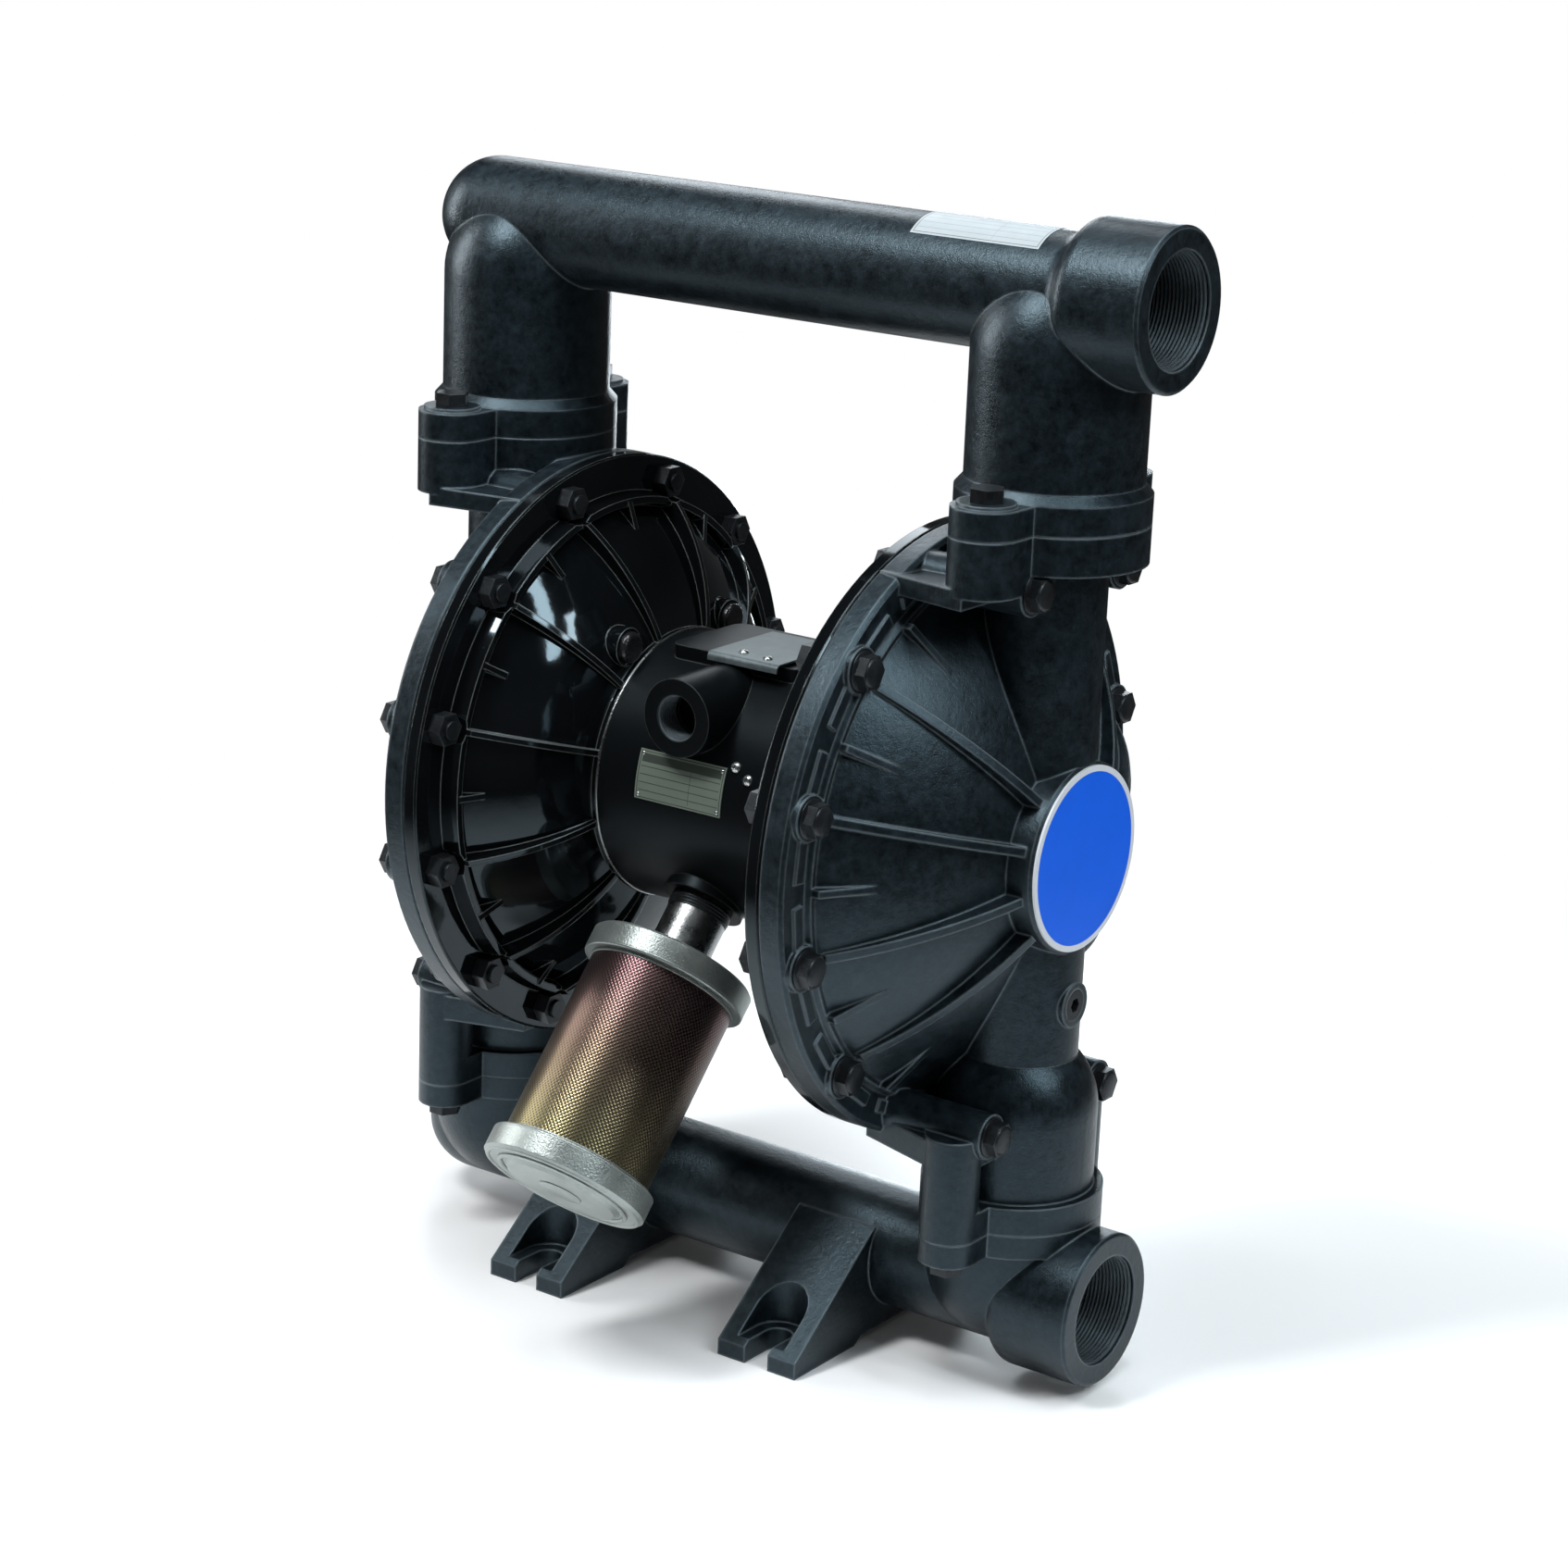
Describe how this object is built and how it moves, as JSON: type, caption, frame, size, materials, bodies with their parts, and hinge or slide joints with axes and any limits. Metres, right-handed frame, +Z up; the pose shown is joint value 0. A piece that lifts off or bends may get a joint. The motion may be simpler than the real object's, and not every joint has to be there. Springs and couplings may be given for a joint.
{
  "type": "air operated diaphragm pump",
  "caption": "Double diaphragm pump driven by air, with ribbed fluid covers, ball check valves, pipe manifolds on slotted feet and an exhaust muffler.",
  "frame": {"origin": "on the floor under the pump's centre, midway between the four foot slots", "axes": "+X along the diaphragm rod towards the ports, -Y towards the air inlet and the muffler, +Z up"},
  "size_m": [0.4565, 0.36, 0.6093],
  "materials": {
    "matte_black": "matte, fine cast grain",
    "gloss_black": "gloss enamel over casting",
    "black_steel": "satin black oxide",
    "zinc_steel": "zinc plated",
    "rod_steel": "ground bright",
    "cast_plate": "as cast",
    "rubber_black": "matte",
    "ball_rubber": "smooth moulded",
    "seat_plastic": "moulded",
    "plug_black": "smooth",
    "muffler_zinc": "zinc grey",
    "muffler_bronze": "fine mesh, bronzed",
    "badge_blue": "blue enamel with a white ring"
  },
  "bodies": {
    "pump_body": {"air_cover_left": "gloss_black", "air_cover_right": "gloss_black", "badge": "badge_blue", "center_housing": "gloss_black", "diaphragm_left": "rubber_black", "diaphragm_right": "rubber_black", "drain_plugs": "black_steel", "fluid_cover_left": "matte_black", "fluid_cover_right": "matte_black", "housing_screws": "zinc_steel", "inlet_ball_guide_left": "seat_plastic", "inlet_ball_guide_right": "seat_plastic", "inlet_bolts": "black_steel", "inlet_manifold": "matte_black", "inlet_orings": "rubber_black", "inlet_seat_left": "seat_plastic", "inlet_seat_right": "seat_plastic", "muffler_bottom_cap": "muffler_zinc", "muffler_nipple": "muffler_zinc", "muffler_shell": "muffler_bronze", "muffler_top_cap": "muffler_zinc", "outlet_ball_guide_left": "seat_plastic", "outlet_ball_guide_right": "seat_plastic", "outlet_bolts": "black_steel", "outlet_manifold": "matte_black", "outlet_orings": "rubber_black", "outlet_seat_left": "seat_plastic", "outlet_seat_right": "seat_plastic", "port_plate": "zinc_steel", "rim_bolts_left": "black_steel", "rim_bolts_right": "black_steel", "rim_nuts_left": "black_steel", "rim_nuts_right": "black_steel", "rod_bearings": "seat_plastic", "rod_seals": "rubber_black", "sense_plugs": "plug_black", "valve_cover": "gloss_black", "valve_gasket": "rubber_black", "valve_screws": "zinc_steel"},
    "rod": {"diaphragm_rod": "rod_steel", "air_plate_left": "cast_plate", "air_plate_right": "cast_plate", "fluid_plate_left": "cast_plate", "fluid_plate_right": "cast_plate", "diaphragm_bolts": "zinc_steel"},
    "inlet_ball_left": {"inlet_ball_left": "ball_rubber"},
    "inlet_ball_right": {"inlet_ball_right": "ball_rubber"},
    "outlet_ball_left": {"outlet_ball_left": "ball_rubber"},
    "outlet_ball_right": {"outlet_ball_right": "ball_rubber"},
    "valve_slide": {"valve_spool": "seat_plastic", "valve_carriage": "seat_plastic", "spool_cups": "rubber_black"},
    "pin_left": {"pilot_pin_left": "zinc_steel"},
    "pin_right": {"pilot_pin_right": "zinc_steel"}
  },
  "joints": [
    {"name": "rod_stroke", "type": "slide", "parent": "pump_body", "child": "rod", "axis": [1, 0, 0], "range_m": [-0.026, 0.026], "deforming": ["diaphragm_left", "diaphragm_right"]},
    {"name": "inlet_ball_left_lift", "type": "slide", "parent": "pump_body", "child": "inlet_ball_left", "axis": [0, 0, 1], "range_m": [0, 0.014]},
    {"name": "inlet_ball_right_lift", "type": "slide", "parent": "pump_body", "child": "inlet_ball_right", "axis": [0, 0, 1], "range_m": [0, 0.014]},
    {"name": "outlet_ball_left_lift", "type": "slide", "parent": "pump_body", "child": "outlet_ball_left", "axis": [0, 0, 1], "range_m": [0, 0.014]},
    {"name": "outlet_ball_right_lift", "type": "slide", "parent": "pump_body", "child": "outlet_ball_right", "axis": [0, 0, 1], "range_m": [0, 0.014]},
    {"name": "valve_shift", "type": "slide", "parent": "pump_body", "child": "valve_slide", "axis": [1, 0, 0], "range_m": [-0.008, 0.008]},
    {"name": "pin_left_push", "type": "slide", "parent": "pump_body", "child": "pin_left", "axis": [1, 0, 0], "range_m": [0, 0.005], "stiffness_N_per_m": 400},
    {"name": "pin_right_push", "type": "slide", "parent": "pump_body", "child": "pin_right", "axis": [-1, 0, 0], "range_m": [0, 0.005], "stiffness_N_per_m": 400}
  ]
}
